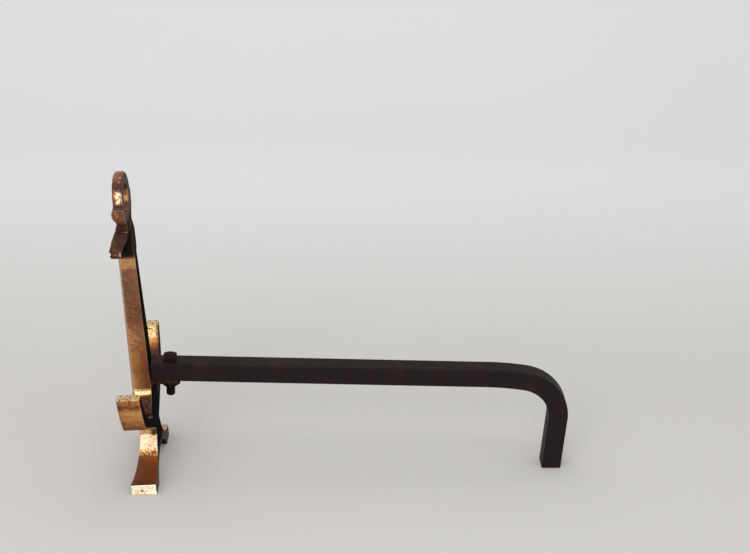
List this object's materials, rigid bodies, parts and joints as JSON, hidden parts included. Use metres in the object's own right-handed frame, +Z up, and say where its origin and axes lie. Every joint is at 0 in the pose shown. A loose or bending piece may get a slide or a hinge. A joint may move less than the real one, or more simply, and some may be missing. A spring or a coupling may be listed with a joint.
{
  "type": "andiron",
  "caption": "Andiron with an anchor-like brass front, ring top and splayed feet, bolted to a square black iron bar that bends down to a rear leg.",
  "frame": {"origin": "on the floor, under the middle of the bounding box", "axes": "+Z up; the front faces -Y and the bar runs to +Y; X across, with the mirror plane at X = 0"},
  "size_m": [0.1522, 0.4136, 0.2946],
  "materials": {
    "brass": "worn polish with brown patina in the hollows and a sooty back",
    "bar_iron": "matt, fire-blackened",
    "bolt_steel": "matt, fire-blackened with a trace of rust"
  },
  "bodies": {
    "root": {"front_casting": "brass", "log_bar": "bar_iron", "bolt": "bolt_steel", "nut": "bolt_steel"}
  },
  "joints": []
}
